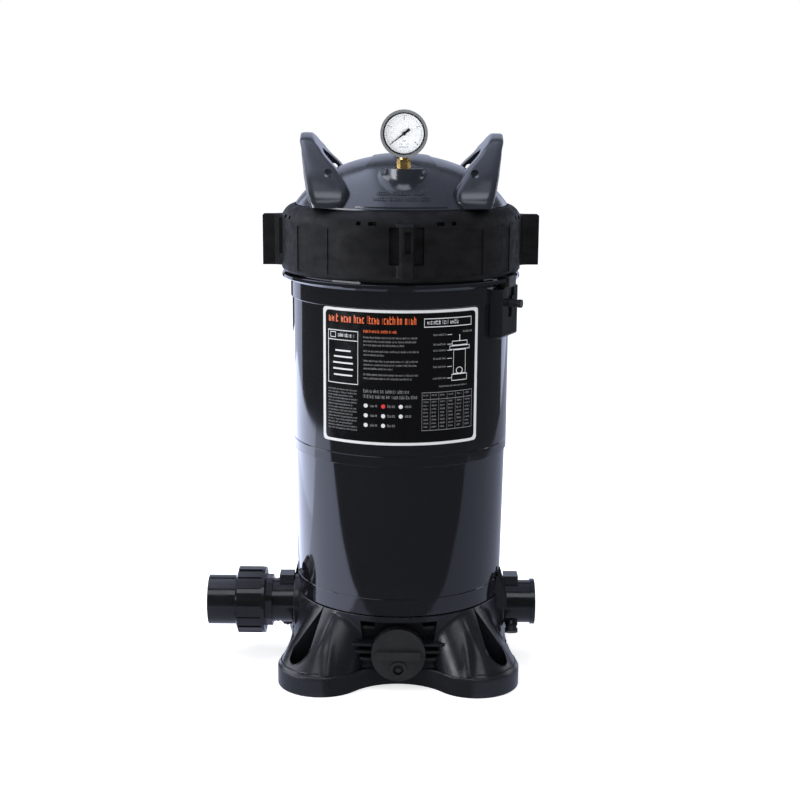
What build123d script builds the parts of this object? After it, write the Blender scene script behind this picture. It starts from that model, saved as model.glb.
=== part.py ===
from build123d import *
import math
import os

# Cartridge filter housing for pool and spa water, free standing, with a lock ring lid.
# Frame: origin on the floor under the tank axis, +Z up, the front (label, drain) is -Y,
# the inlet union is on -X and the open outlet stub is on +X. Millimetres.

# ---- driving dimensions ----
CLEAR = 0.3                 # gap between faces of pieces that move past each other

# base stand
SKIRT_H = 28.0              # height of the upright skirt round the feet
BASE_TOP = 108.0            # ledge that the tank stands on
BASE_RIM_R = 150.3
BASE_BORE_R = 138.0
LOBE_X, LOBE_Y, LOBE_R = 109.0, 113.0, 62.0     # centre and radius of each rounded foot
FRONT_REACH, SIDE_REACH = 125.0, 160.0          # hollow sides of the outline, from the axis
ANCHOR = 136.5              # anchor holes stand at (+-ANCHOR, +-ANCHOR)
ANCHOR_HOLE_R = 5.5
FOOT_FLOOR = 9.0            # plate left under each anchor well
WELL_R = 13.5
DRAIN_Z = 52.0

# tank
TANK_R_BOTTOM, TANK_R_MID, TANK_R = 148.1, 151.7, 154.0
WALL = 5.0
MID_Z = 323.0               # lower lip of the upper moulding, over the lower one
MID_BAND_Z = 338.5
BAND_Z, FLANGE_Z, FLANGE_TOP = 541.0, 568.0, 574.0
FLANGE_R = 168.0
NECK_TOP = 646.0
NECK_R, NECK_BORE = 153.0, 147.0
LABEL_Z0, LABEL_Z1, LABEL_HALF_W = 357.0, 538.5, 105.0

# ring thread: two starts, right hand
LEAD, STARTS = 28.0, 2
RIDGE = 4.5                 # thickness of a thread ridge
SECTOR, RELIEF = 15.0, 1.2  # level ridge sectors in degrees, and the relief cut between them
MALE_CREST, FEMALE_CREST, RING_ROOT = 157.5, 155.5, 160.2

# lock ring
RING_R, RING_Z0, RING_EDGE, RING_TOP = 168.5, 577.0, 649.0, 669.0
RING_OPENING = 149.3
RING_SEAT = 655.0           # underside of its inner shoulder
LUG_R, LUG_Z0, LUG_Z1, LUG_W = 195.0, 583.5, 655.0, 14.3
LUG_TURN = 2.5              # the front lug stands this far towards +X

# lid
LID_RIM_R, LID_WALL = 148.5, 6.0
LID_FLANGE_R = 154.8
LID_SKIRT_Z = 671.0         # the dome starts to curve in here
DOME_MID = (81.0, 723.0)
DOME_TOP = 738.0
GAUGE_X, GAUGE_Y, GAUGE_Z = 3.0, -100.0, 768.6
GAUGE_R = 31.5
BOSS_R, BOSS_TOP = 26.5, 722.8
BLEED_Y = 12.0

# ports
PORT_Z = 81.0
PIPE_R, STUB_R, PIPE_BORE = 32.4, 31.5, 26.5
PIPE_STEP, STUB_END, LIP_END = 174.0, 196.0, 201.0
SEAT_R, SEAT_X = 27.5, 176.0            # wider mouth of the outlet stub, from SEAT_X to its lip
INLET_X, DRAIN_Y = -92.0, -88.0
RISER_R, DRAIN_R = 29.0, 15.0           # upright water ways under the tank floor

# union on the inlet
NUT_X0, NUT_X1, NUT_R = 197.0, 237.0, 48.7
TAIL_R, TAIL_END, SOCKET_R, SOCKET_DEPTH = 36.3, 281.5, 30.25, 35.0

# lock tab, at this angle from the front towards +X
LOCK_AZ = 65.0
LOCK_Z0, LOCK_Z1, LOCK_FACE_R, LOCK_W = 492.0, 560.5, 167.0, 72.0
KNOB_Z, LOCK_TRAVEL = 538.5, 12.0

# cartridge
CART_R, CART_Z0, CART_Z1, PLEATS = 118.0, 140.0, 596.0, 72


# ---- helpers ----
def save(shape, name):
    export_step(shape, f"parts/{name}.step")


def cyl(radius, z0, z1, x=0.0, y=0.0):
    return Pos(x, y, (z0 + z1) / 2) * Cylinder(radius, z1 - z0)


def tube(r_out, r_in, z0, z1, x=0.0, y=0.0):
    return cyl(r_out, z0, z1, x, y) - cyl(r_in, z0 - 1, z1 + 1, x, y)


def x_cyl(radius, x0, x1, y=0.0, z=0.0):
    return Pos((x0 + x1) / 2, y, z) * Rot(0, 90, 0) * Cylinder(radius, abs(x1 - x0))


def y_cyl(radius, y0, y1, x=0.0, z=0.0):
    return Pos(x, (y0 + y1) / 2, z) * Rot(90, 0, 0) * Cylinder(radius, abs(y1 - y0))


def block(x0, x1, y0, y1, z0, z1):
    return Pos((x0 + x1) / 2, (y0 + y1) / 2, (z0 + z1) / 2) * Box(x1 - x0, y1 - y0, z1 - z0)


def turned(*points):
    """Solid of revolution about Z from (radius, z) corners."""
    return revolve(Plane.XZ * Polygon(*points, align=None), Axis.Z)


def turned_edges(edges):
    """Solid of revolution about Z from the lines and arcs of a closed outline."""
    return revolve(Plane.XZ * make_face(edges), Axis.Z)


def prism(points, z0, z1):
    """Upright prism from an (x, y) outline."""
    face = Polygon(*points, align=None)
    return Pos(0, 0, z0) * extrude(face, z1 - z0, dir=(0, 0, 1))


def prism_xz(points, y0, y1):
    """Prism along Y from an (x, z) outline."""
    face = Plane.XZ * Polygon(*points, align=None)
    return Pos(0, y0, 0) * extrude(face, y1 - y0, dir=(0, 1, 0))


def prism_yz(points, x0, x1):
    """Prism along X from a (y, z) outline."""
    face = Plane.YZ * Polygon(*points, align=None)
    return Pos(x0, 0, 0) * extrude(face, x1 - x0, dir=(1, 0, 0))


def ring_o(major, minor, z):
    return Pos(0, 0, z) * Torus(major, minor)


def at_lock(shape):
    """Turns a piece drawn on the -Y side to the lock tab's angle."""
    return Rot(0, 0, LOCK_AZ) * shape


# ---- base stand ----
def saddle_radius(across, gap):
    """Radius of the hollow arc that touches two foot arcs and passes the mid point."""
    return (across ** 2 + gap ** 2 - LOBE_R ** 2) / (2 * (LOBE_R - gap))


def foot_outline():
    """Plan outline of the skirt: four round feet joined by hollow arcs."""
    front_r = saddle_radius(LOBE_X, FRONT_REACH - LOBE_Y)
    side_r = saddle_radius(LOBE_Y, SIDE_REACH - LOBE_X)
    front_c = FRONT_REACH + front_r
    side_c = SIDE_REACH + side_r
    k = LOBE_R / (LOBE_R + front_r)
    fx, fy = LOBE_X * (1 - k), LOBE_Y + (front_c - LOBE_Y) * k
    k = LOBE_R / (LOBE_R + side_r)
    sx, sy = LOBE_X + (side_c - LOBE_X) * k, LOBE_Y * (1 - k)
    tip = LOBE_R / math.sqrt(2)
    edges = []
    for s in (-1, 1):
        edges.append(ThreePointArc((-fx, s * fy), (0, s * FRONT_REACH), (fx, s * fy)))
        edges.append(ThreePointArc((s * sx, -sy), (s * SIDE_REACH, 0), (s * sx, sy)))
        for t in (-1, 1):
            corner = (t * (LOBE_X + tip), s * (LOBE_Y + tip))
            edges.append(ThreePointArc((t * fx, s * fy), corner, (t * sx, s * sy)))
    return make_face(edges)


def well_cut():
    """Teardrop pocket over one anchor hole, drawn for the +X +Y foot."""
    r, along = WELL_R, ANCHOR * math.sqrt(2)
    point = along - 38.0
    tangent = math.acos(r / (along - point))
    x, y = along - r * math.cos(tangent), r * math.sin(tangent)
    drop = Pos(along, 0) * Circle(r) + Polygon((point, 0), (x, -y), (x, y), align=None)
    cut = Pos(0, 0, FOOT_FLOOR) * extrude(drop, BASE_TOP)
    return Rot(0, 0, 45) * (cut + cyl(ANCHOR_HOLE_R, -1, 20, along))


def base_stand():
    body = extrude(foot_outline(), SKIRT_H)
    core = Plane.XY.offset(SKIRT_H - 1) * Ellipse(SIDE_REACH - 3, FRONT_REACH - 1)
    body += loft([core.face(), (Plane.XY.offset(BASE_TOP) * Circle(BASE_RIM_R)).face()])
    foot = Plane.XY.offset(SKIRT_H - 1) * Pos(LOBE_X, LOBE_Y) * Circle(LOBE_R - 2)
    heel = Plane.XY.offset(BASE_TOP) * Pos(72, 76) * Circle(BASE_RIM_R - 105.2)
    one_foot = loft([foot.face(), heel.face()], ruled=True)
    for flip_x in (False, True):
        for flip_y in (False, True):
            leg, well = one_foot, well_cut()
            if flip_x:
                leg, well = mirror(leg, Plane.YZ), mirror(well, Plane.YZ)
            if flip_y:
                leg, well = mirror(leg, Plane.XZ), mirror(well, Plane.XZ)
            body = body + leg - well
    for z, reach in ((65.0, 84.0), (54.5, 78.0), (44.0, 62.0)):
        body += block(-reach, reach, -143.0, -110.0, z - 1.8, z + 1.8)
    body -= block(-42, 42, -160, -141, 68, 101)
    body -= turned((0, -1), (112, -1), (131, 94), (BASE_BORE_R, 94),
                   (BASE_BORE_R, BASE_TOP + 1), (0, BASE_TOP + 1))
    body -= cyl(38.5, 30, 95, INLET_X)
    body -= y_cyl(26.0, -150, -100, z=DRAIN_Z)
    body -= y_cyl(32.0, -160, -123, z=DRAIN_Z) + y_cyl(39.5, -160, -133, z=DRAIN_Z)
    for side in (-1, 1):
        collar = x_cyl(PIPE_R + 6, side * 139, side * 154.8, z=PORT_Z)
        body += collar - x_cyl(PIPE_R, side * 100, side * 170, z=PORT_Z)
        body -= x_cyl(PIPE_R, side * 100, side * 200, z=PORT_Z)
        body -= port_direction(side) * cyl(10.6, 37, 64)
        body += gussets(side)
    return body - cyl(TANK_R_BOTTOM + 0.8, BASE_TOP, 160)


def gussets(side):
    """Pair of pointed ribs that steady the tank beside a port."""
    ribs = None
    for y in (38.0, 48.0):
        x = math.sqrt(BASE_RIM_R ** 2 - y ** 2)
        leaf = [(x - 8, 84), (x + 14, 84), (x + 8, 126), (x + 1, 144), (x - 1.2, 144)]
        rib = prism_xz(leaf, -y - 1.5, -y + 1.5)
        ribs = rib if ribs is None else ribs + rib
    return ribs if side > 0 else Rot(0, 0, 180) * ribs


# ---- ports ----
def port_direction(side):
    """Plane at a winter plug seat: its +Z runs out of the pipe, downwards."""
    tilt = 30.0 if side > 0 else -30.0
    return Pos(side * 167.0, 0, PORT_Z) * Rot(180 - tilt, 0, 0)


def port_manifold():
    """Moulded water ways in the stand: inlet, outlet and drain under one plate."""
    body = cyl(BASE_BORE_R - 0.4, 100, BASE_TOP)
    body += cyl(37, 44, 101) + cyl(37, 44, 101, INLET_X) + cyl(22, 28, 101, 0, DRAIN_Y)
    body += x_cyl(PIPE_R, 0, PIPE_STEP, z=PORT_Z) + x_cyl(STUB_R, 100, STUB_END, z=PORT_Z)
    body += x_cyl(33.5, STUB_END - 1, LIP_END, z=PORT_Z)
    body += x_cyl(PIPE_R, INLET_X, -PIPE_STEP, z=PORT_Z)
    body += x_cyl(STUB_R, INLET_X, -STUB_END, z=PORT_Z)
    body += y_cyl(20, DRAIN_Y, -120, z=DRAIN_Z) + y_cyl(23.5, -114, -139, z=DRAIN_Z)
    for side in (-1, 1):
        body += block(min(side * 155, side * 176), max(side * 155, side * 176),
                      -13, 13, PORT_Z + 20, 123.5)
        body += port_direction(side) * cyl(9.5, 20, 36)
    for k in range(3):
        body += x_cyl(STUB_R + 0.9, -178 - 5 * k, -180.5 - 5 * k, z=PORT_Z)
    for k in range(4):
        body += y_cyl(25, -119 - 5 * k, -121.5 - 5 * k, z=DRAIN_Z)
    body -= cyl(RISER_R, 50, 120)
    body -= cyl(RISER_R, 50, 120, INLET_X)
    body -= cyl(DRAIN_R, 36, 120, 0, DRAIN_Y)
    body -= x_cyl(PIPE_BORE, 0, LIP_END + 5, z=PORT_Z)
    body -= x_cyl(SEAT_R, SEAT_X, LIP_END + 5, z=PORT_Z)
    body -= x_cyl(PIPE_BORE, INLET_X, -STUB_END - 5, z=PORT_Z)
    body -= y_cyl(DRAIN_R - 1, DRAIN_Y, -150, z=DRAIN_Z)
    for side in (-1, 1):
        body -= port_direction(side) * cyl(6.6, 10, 40)
    return body - cyl(TANK_R_BOTTOM + 0.8, BASE_TOP, 140)


def port_plug(side):
    """Screwed winter plug: slotted head, shank and collar."""
    plug = cyl(6.2, 27, 37) + cyl(8.0, 38.2, 40.5) + cyl(9.6, 40.5, 47)
    for k in range(10):
        a = math.radians(36 * k)
        plug -= cyl(1.3, 42, 48, 9.9 * math.cos(a), 9.9 * math.sin(a))
    plug += cyl(6.2, 36.5, 39)
    plug -= block(-7, 7, -1.2, 1.2, 44.5, 48)
    return port_direction(side) * plug


def plug_seal(side):
    return port_direction(side) * ring_o(7.5, 1.1, 37.1)


# ---- inlet union ----
def union_adaptor():
    body = x_cyl(38.0, -186.5, -196.5, z=PORT_Z) + x_cyl(42.0, -196, -209.5, z=PORT_Z)
    for k in range(8):
        flat = Rot(45 * k, 0, 0) * block(-197, -186, -20, 20, 36.6, 45)
        body -= Pos(0, 0, PORT_Z) * flat
    for x in (199.0, 203.5):
        body += x_cyl(43.0, -x, -x - 2, z=PORT_Z)
    body -= x_cyl(STUB_R + 0.2, -180, -STUB_END - 0.5, z=PORT_Z)
    body -= x_cyl(PIPE_BORE, -180, -215, z=PORT_Z)
    for k in range(3):
        body -= x_cyl(STUB_R + 1.0, -178 - 5 * k, -180.6 - 5 * k, z=PORT_Z)
    groove = x_cyl(35.0, -207.5, -212, z=PORT_Z) - x_cyl(30.0, -206, -214, z=PORT_Z)
    return body - groove


def union_oring():
    return Pos(-208.9, 0, PORT_Z) * Rot(0, 90, 0) * Torus(32.4, 1.4)


def union_nut():
    edges = NUT_X1 + 3.0
    body = Pos(-(NUT_X0 + NUT_X1) / 2, 0, PORT_Z) * Rot(0, 90, 0) * Cylinder(NUT_R - 1.5, 40)
    cone = Cone(NUT_R - 1.5, NUT_R - 8, edges - NUT_X1)
    body += Pos(-(edges + NUT_X1) / 2, 0, PORT_Z) * Rot(0, -90, 0) * cone
    for k in range(16):
        rib = block(-NUT_X1, -NUT_X0 - 4, -6.0, 6.0, NUT_R - 4, NUT_R)
        body += Pos(0, 0, PORT_Z) * Rot(22.5 * k, 0, 0) * rib
    body += x_cyl(NUT_R, -NUT_X0, -NUT_X0 - 5, z=PORT_Z)
    body -= x_cyl(43.0 + CLEAR, -190, -218.0, z=PORT_Z)
    body -= x_cyl(TAIL_R + CLEAR, -200, -250, z=PORT_Z)
    return body


def union_tail():
    body = x_cyl(TAIL_R, -211, -TAIL_END, z=PORT_Z)
    body += x_cyl(42.4, -210.3, -217.5, z=PORT_Z)
    body -= x_cyl(SOCKET_R, -TAIL_END + SOCKET_DEPTH, -TAIL_END - 5, z=PORT_Z)
    body -= x_cyl(PIPE_BORE, -205, -TAIL_END - 5, z=PORT_Z)
    return body


# ---- drain cap ----
def drain_cap():
    z = DRAIN_Z
    body = y_cyl(38, -134, -148, z=z) + y_cyl(31, -124, -136, z=z)
    bar = block(-31, 31, -154, -147, z - 6, z + 6)
    body += bar + y_cyl(12, -147, -150, z=z - 21)
    for k in range(24):
        notch = Rot(0, 15 * k, 0) * block(-1.4, 1.4, -146, -135.5, 37.2, 39)
        body -= Pos(0, 0, z) * notch
    body -= y_cyl(25 + CLEAR, -120, -142, z=z)
    body -= y_cyl(7.5, -144.5, -156, z=z - 21)
    return body


def drain_pin():
    """Small test point plug seated in the cap's round recess."""
    return y_cyl(3.2, -144.5, -150.5, z=DRAIN_Z - 21) + y_cyl(5.4, -144.5, -146.5, z=DRAIN_Z - 21)


def drain_seal():
    ring = Rot(90, 0, 0) * Torus(19.0, 1.2)
    return Pos(0, -140.6, DRAIN_Z) * ring


# ---- tank ----
def tank_lower():
    inner = TANK_R_BOTTOM - WALL
    body = turned(
        (0, BASE_TOP), (TANK_R_BOTTOM - 1.5, BASE_TOP), (TANK_R_BOTTOM, BASE_TOP + 1.5),
        (TANK_R_BOTTOM + 0.4, 133), (TANK_R_BOTTOM - 0.3, 133.7), (TANK_R_BOTTOM + 0.4, 134.4),
        (TANK_R_MID, MID_Z), (148.5, MID_Z), (148.5, 352), (144, 352), (144, MID_Z - 6),
        (inner, BASE_TOP + 14), (inner - 7, BASE_TOP + 7), (0, BASE_TOP + 7),
    )
    body -= cyl(RISER_R, 100, 130)
    body -= cyl(RISER_R, 100, 130, INLET_X)
    return body - cyl(DRAIN_R, 100, 130, 0, DRAIN_Y)


def thread_ridges(r_root, r_crest, z0, z1, shift):
    """Interrupted thread: short level ridges that climb one LEAD in each turn."""
    slope = 0.25 * RIDGE
    out = []
    for start in range(STARTS):
        for k in range(int((z1 - z0 - RIDGE) / LEAD * 360 / SECTOR)):
            z = z0 + LEAD * k * SECTOR / 360
            outline = Polygon((r_root, z), (r_crest, z + slope), (r_crest, z + RIDGE - slope),
                              (r_root, z + RIDGE), align=None)
            ridge = revolve(Plane.XZ * outline, Axis.Z, SECTOR - RELIEF)
            out.append(Rot(0, 0, shift + k * SECTOR + 360 * start / STARTS) * ridge)
    return out


def tank_upper():
    body = turned(
        (148.7, MID_Z), (TANK_R - 1, MID_Z), (TANK_R, MID_Z + 1), (TANK_R, MID_BAND_Z - 0.8),
        (TANK_R - 0.7, MID_BAND_Z), (TANK_R, MID_BAND_Z + 0.8), (TANK_R, BAND_Z - 1.5),
        (TANK_R + 2, BAND_Z), (TANK_R + 2, FLANGE_Z - 4), (TANK_R + 5, FLANGE_Z),
        (FLANGE_R - 1, FLANGE_Z), (FLANGE_R, FLANGE_Z + 1), (FLANGE_R, FLANGE_TOP - 1),
        (FLANGE_R - 1, FLANGE_TOP), (NECK_R, FLANGE_TOP), (NECK_R, NECK_TOP - 1),
        (NECK_R - 1, NECK_TOP), (NECK_BORE + 2, NECK_TOP), (NECK_BORE, NECK_TOP - 2),
        (NECK_BORE, 600), (149, 594), (149, 352), (148.7, 352),
    )
    housing = block(-LOCK_W / 2, LOCK_W / 2, -LOCK_FACE_R, -151, LOCK_Z0, LOCK_Z1)
    housing = fillet(housing.edges().filter_by(Axis.Z).sort_by(Axis.Y)[:2], 9)
    housing = fillet(housing.faces().sort_by(Axis.Z)[0].edges().sort_by(Axis.Y)[:1], 4)
    body += at_lock(housing)
    body -= at_lock(block(-13.5, 13.5, -164, -157, LOCK_Z0 + 6, LOCK_Z1 + 30))
    body -= at_lock(block(-13.5, 13.5, -180, -157, 548, FLANGE_TOP + 1))
    slot = block(-6.4, 6.4, -172, -160, KNOB_Z - LOCK_TRAVEL - 6.6, 549)
    body -= at_lock(slot)
    return body + thread_ridges(NECK_R - 2, MALE_CREST, 596, 642, 0)


def label_plate():
    shell = tube(TANK_R + 0.5, TANK_R, LABEL_Z0, LABEL_Z1)
    size = (2 * LABEL_HALF_W, LABEL_Z1 - LABEL_Z0)
    plate = Plane.XZ * Pos(0, (LABEL_Z0 + LABEL_Z1) / 2) * RectangleRounded(*size, 6)
    return shell & extrude(plate, TANK_R + 20)


# ---- lock tab ----
def lock_tab():
    stem = block(-12.8, 12.8, -163.4, -157.6, 518, RING_Z0 - 0.5)
    head = block(-12.8, 12.8, -170.0, -163, LOCK_Z1 + 1.0, RING_Z0 - 0.5)
    return at_lock(stem + head)


def lock_knob():
    knob = y_cyl(5.8, -163.4, -184, z=KNOB_Z)
    knob -= y_cyl(7, -176.5, -179, z=KNOB_Z) - y_cyl(4.6, -176, -180, z=KNOB_Z)
    return at_lock(knob)


def lock_spring():
    """Envelope of the compression spring that holds the tab up."""
    return at_lock(tube(3.2, 2.2, 498.2, 517.8, 0, -160.5))


# ---- lock ring ----
def lug():
    """Grip lug drawn on the -Y side, flared where it leaves the ring."""
    half = LUG_W / 2
    plan = [(-half, -LUG_R), (half, -LUG_R), (half + 0.5, -178), (half + 3.5, -171),
            (half + 9, -166), (-half - 9, -166), (-half - 3.5, -171), (-half - 0.5, -178)]
    body = prism(plan, LUG_Z0, LUG_Z1)
    roof = [(-LUG_R - 1, LUG_Z1 - 3), (-LUG_R - 1, LUG_Z1 + 2), (-163, LUG_Z1 + 2),
            (-163, LUG_Z1 - 0.5), (-LUG_R + 2, LUG_Z1 - 0.5)]
    body -= prism_yz(roof, -30, 30)
    body -= block(-4, 4, -LUG_R - 1, -LUG_R + 5, 618, 646)
    return body


def lock_ring():
    top = ThreePointArc((RING_R, RING_EDGE), (163.4, 661.6), (151.5, RING_TOP))
    outline = [
        Line((RING_ROOT, RING_Z0), (RING_R - 3, RING_Z0)),
        Line((RING_R - 3, RING_Z0), (RING_R, RING_Z0 + 4)),
        Line((RING_R, RING_Z0 + 4), (RING_R, RING_EDGE)),
        top,
        Line((151.5, RING_TOP), (RING_OPENING, RING_TOP - 1.5)),
        Line((RING_OPENING, RING_TOP - 1.5), (RING_OPENING, RING_SEAT)),
        Line((RING_OPENING, RING_SEAT), (RING_ROOT, RING_SEAT)),
        Line((RING_ROOT, RING_SEAT), (RING_ROOT, RING_Z0)),
    ]
    body = turned_edges(outline)
    for k in range(4):
        turn = Rot(0, 0, 90 * k + LUG_TURN)
        body += turn * lug()
        for side in (-1, 1):
            pocket = block(-6.5, 6.5, -175, -163.6, 600, 650)
            body -= turn * Rot(0, 0, side * 5.6) * pocket
            body -= turn * Rot(0, 0, side * 34.5) * block(-10.5, 10.5, -175, -166.9, 584, 645)
            for angle, half in ((15.5, 5.5), (22.0, 3.0)):
                slot = block(-half, half, -175, -161.5, 651.5, 656.5)
                body -= turn * Rot(0, 0, side * angle) * slot
    notch = block(-14, 14, -180, -158, RING_Z0 - 1, RING_Z0 + 3)
    body -= at_lock(notch)
    return body + thread_ridges(RING_ROOT + 2, FEMALE_CREST, 596, 640, 180 / STARTS)


# ---- lid ----
def dome_solid(grow, z_floor):
    """Solid under the dome surface, grown outwards by grow."""
    mx, mz = DOME_MID
    crown_r = (mx ** 2 + (DOME_TOP - mz) ** 2) / (2 * (DOME_TOP - mz))
    half = math.asin(mx / crown_r) / 2
    centre = DOME_TOP - crown_r
    reach = crown_r + grow
    a = (reach * math.sin(half), centre + reach * math.cos(half))
    b = (reach * math.sin(2 * half), centre + reach * math.cos(2 * half))
    top = (0, DOME_TOP + grow)
    crown = ThreePointArc(top, a, b)
    side = TangentArc(b, (LID_RIM_R + grow, LID_SKIRT_Z), tangent=crown % 1)
    outline = [
        crown, side,
        Line((LID_RIM_R + grow, LID_SKIRT_Z), (LID_RIM_R + grow, z_floor)),
        Line((LID_RIM_R + grow, z_floor), (0, z_floor)),
        Line((0, z_floor), top),
    ]
    return turned_edges(outline)


def lid_dome():
    body = dome_solid(0, 653)
    body += turned((0, 620), (146.4, 620), (146.4, 646.3), (LID_FLANGE_R, 646.3),
                   (LID_FLANGE_R, 653), (0, 653))
    band = [(-35, 0), (-66, -160), (66, -160), (35, 0), (66, 160), (-66, 160)]
    raised = dome_solid(1.6, 664) & prism(band, 672, 800)
    body += raised & cyl(147.5, 600, 800)
    body += cyl(BOSS_R, 680, BOSS_TOP, GAUGE_X, GAUGE_Y)
    body += cyl(17, 725, 741, 0, BLEED_Y)
    body -= dome_solid(-LID_WALL, 610) & cyl(140.0, 600, 760)
    body += cyl(BOSS_R - 8, 685, BOSS_TOP - 1, GAUGE_X, GAUGE_Y)
    body -= turned((141.5, 625.4), (150, 625.4), (150, 630.6), (141.5, 630.6))
    body -= cyl(7.0, 640, BOSS_TOP + 5, GAUGE_X, GAUGE_Y)
    body -= cyl(7.0, 640, 760, 0, BLEED_Y)
    return body


def lid_oring():
    return ring_o(144.1, 2.6, 628)


def slip_washer():
    return tube(LID_FLANGE_R, RING_OPENING + 0.4, 653, 654.7)


def lid_handle(side):
    """Horn shaped lifting handle: an arch from front to back that leans outwards."""
    leaf = [(-62, 696), (-84, 668), (-123, 676), (-137, 745), (-141.5, 760), (-138, 765),
            (-126, 765.5), (-113, 762)]
    outer = [(129, 664), (122, 690), (96, 728), (60, 757), (28, 766)]
    inner = [(20, 744), (44, 737), (68, 716), (82, 690), (84, 664)]
    arch = [(-y, z) for y, z in outer] + outer[::-1] + inner[::-1]
    arch += [(-y, z) for y, z in inner]
    body = prism_xz(leaf, -200, 200) & prism_yz(arch, -200, 0)
    body -= dome_solid(0.0, 600)
    body -= block(-200, 0, -200, 200, 600, 671.5)
    body -= y_cyl(6.0, -140, 140, x=-98, z=716)
    if side > 0:
        body = mirror(body, Plane.YZ)
    return body


# ---- pressure gauge ----
def gauge_stem():
    hexagon = Pos(GAUGE_X, GAUGE_Y, BOSS_TOP) * extrude(RegularPolygon(9.2, 6), 12)
    body = hexagon + cyl(6.8, 704, BOSS_TOP + 1, GAUGE_X, GAUGE_Y)
    body += cyl(6.5, BOSS_TOP + 10, 746, GAUGE_X, GAUGE_Y)
    return body - cyl(1.8, 700, 745, GAUGE_X, GAUGE_Y)


def gauge_case():
    y0, y1 = GAUGE_Y + 14, GAUGE_Y - 12
    body = y_cyl(GAUGE_R - 1.2, y0, y1, x=GAUGE_X, z=GAUGE_Z)
    body -= y_cyl(GAUGE_R - 3.2, y0 - 2, y1 - 5, x=GAUGE_X, z=GAUGE_Z)
    return body - cyl(6.6, 720, 752, GAUGE_X, GAUGE_Y)


def gauge_bezel():
    y1 = GAUGE_Y - 15.6
    ring = y_cyl(GAUGE_R, GAUGE_Y - 7.2, y1, x=GAUGE_X, z=GAUGE_Z)
    ring -= y_cyl(GAUGE_R - 1.1, GAUGE_Y, y1 + 1.2, x=GAUGE_X, z=GAUGE_Z)
    return ring - y_cyl(GAUGE_R - 3.6, GAUGE_Y, y1 - 5, x=GAUGE_X, z=GAUGE_Z)


def gauge_dial():
    dial = y_cyl(GAUGE_R - 3.3, GAUGE_Y - 7.4, GAUGE_Y - 8.2, x=GAUGE_X, z=GAUGE_Z)
    return dial - y_cyl(1.6, GAUGE_Y, GAUGE_Y - 12, x=GAUGE_X, z=GAUGE_Z)


def gauge_lens():
    return y_cyl(GAUGE_R - 1.3, GAUGE_Y - 13, GAUGE_Y - 14.3, x=GAUGE_X, z=GAUGE_Z)


def gauge_movement():
    """Curved pressure tube and its bracket behind the dial."""
    bend = Rot(90, 0, 0) * Torus(19, 2.2)
    bend -= block(-30, 0, -10, 10, -30, 0)
    body = Pos(GAUGE_X, GAUGE_Y + 4, GAUGE_Z) * bend
    body += Pos(GAUGE_X, GAUGE_Y + 4, GAUGE_Z) * block(-2.5, 6, -3, 3, -22, -14)
    plate = Pos(GAUGE_X, GAUGE_Y + 1, GAUGE_Z) * block(-6, 6, -6.5, 2, -17, 7)
    return body + plate - y_cyl(1.5, GAUGE_Y + 10, GAUGE_Y - 10, x=GAUGE_X, z=GAUGE_Z)


def gauge_needle():
    """Needle on its spindle, at rest on the zero mark at the lower left."""
    y = GAUGE_Y
    outline = [(-1.3, 0), (-0.35, 21.5), (0.35, 21.5), (1.3, 0), (2.2, -9.5), (-2.2, -9.5)]
    flat = Rot(0, -128, 0) * prism_xz(outline, y - 10.7, y - 10.0)
    hub = y_cyl(2.6, y - 9.6, y - 11.6) + y_cyl(1.35, y + 3.0, y - 10)
    return Pos(GAUGE_X, 0, GAUGE_Z) * (flat + hub)


# ---- air bleed valve ----
def bleed_body():
    base = Pos(0, BLEED_Y, 741) * extrude(RegularPolygon(11, 6), 6)
    body = base + cyl(6.8, 722, 742, 0, BLEED_Y) + cyl(8, 746, 750, 0, BLEED_Y)
    return body - cyl(3.4, 715, 760, 0, BLEED_Y)


def bleed_knob():
    body = cyl(11.5, 751.6, 763, 0, BLEED_Y) + cyl(3.1, 735, 752, 0, BLEED_Y)
    for k in range(8):
        a = math.radians(45 * k + 22.5)
        body -= cyl(2.6, 750, 765, 13 * math.cos(a), BLEED_Y + 13 * math.sin(a))
    return body


def bleed_oring():
    return Pos(0, BLEED_Y, 750.9) * Torus(4.9, 0.6)


# ---- cartridge ----
def cartridge_pleats():
    points = []
    for k in range(2 * PLEATS):
        radius = CART_R if k % 2 else 56.0
        angle = math.pi * k / PLEATS
        points.append((radius * math.cos(angle), radius * math.sin(angle)))
    return prism(points, CART_Z0, CART_Z1) - cyl(51, CART_Z0 - 1, CART_Z1 + 1)


def cartridge_core():
    body = tube(50.5, 46.5, CART_Z0, CART_Z1)
    for row in range(9):
        z = CART_Z0 + 35 + row * 48
        for k in range(4):
            body -= Pos(0, 0, z) * Rot(0, 0, 45 * k + 22.5 * (row % 2)) * x_cyl(8, -60, 60)
    return body


def cartridge_bottom_cap():
    cap = cyl(CART_R + 3, CART_Z0 - 13, CART_Z0) - cyl(31.4, CART_Z0 - 20, CART_Z0 + 1)
    return fillet(cap.edges().filter_by(GeomType.CIRCLE).group_by(Axis.Z)[0][0], 1.5)


def cartridge_top_cap():
    cap = cyl(CART_R + 3, CART_Z1, CART_Z1 + 12)
    cap = fillet(cap.edges().filter_by(GeomType.CIRCLE).group_by(Axis.Z)[-1][0], 4)
    cap -= cyl(40, CART_Z1 + 5, CART_Z1 + 20)
    return cap + block(-39.9, 39.9, -5, 5, CART_Z1 + 4, CART_Z1 + 12)


def outlet_spigot():
    body = tube(31.0, 26.0, BASE_TOP, 156) + tube(40, 26, BASE_TOP + 7, BASE_TOP + 13)
    body -= cyl(60, 100, BASE_TOP + 7) - cyl(26, 90, 130)
    return body - turned((28.9, 147), (40, 147), (40, 151.4), (28.9, 151.4))


def spigot_oring():
    return ring_o(31.0, 2.1, 149.2)


# ---- build every piece ----
os.makedirs("parts", exist_ok=True)

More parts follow.
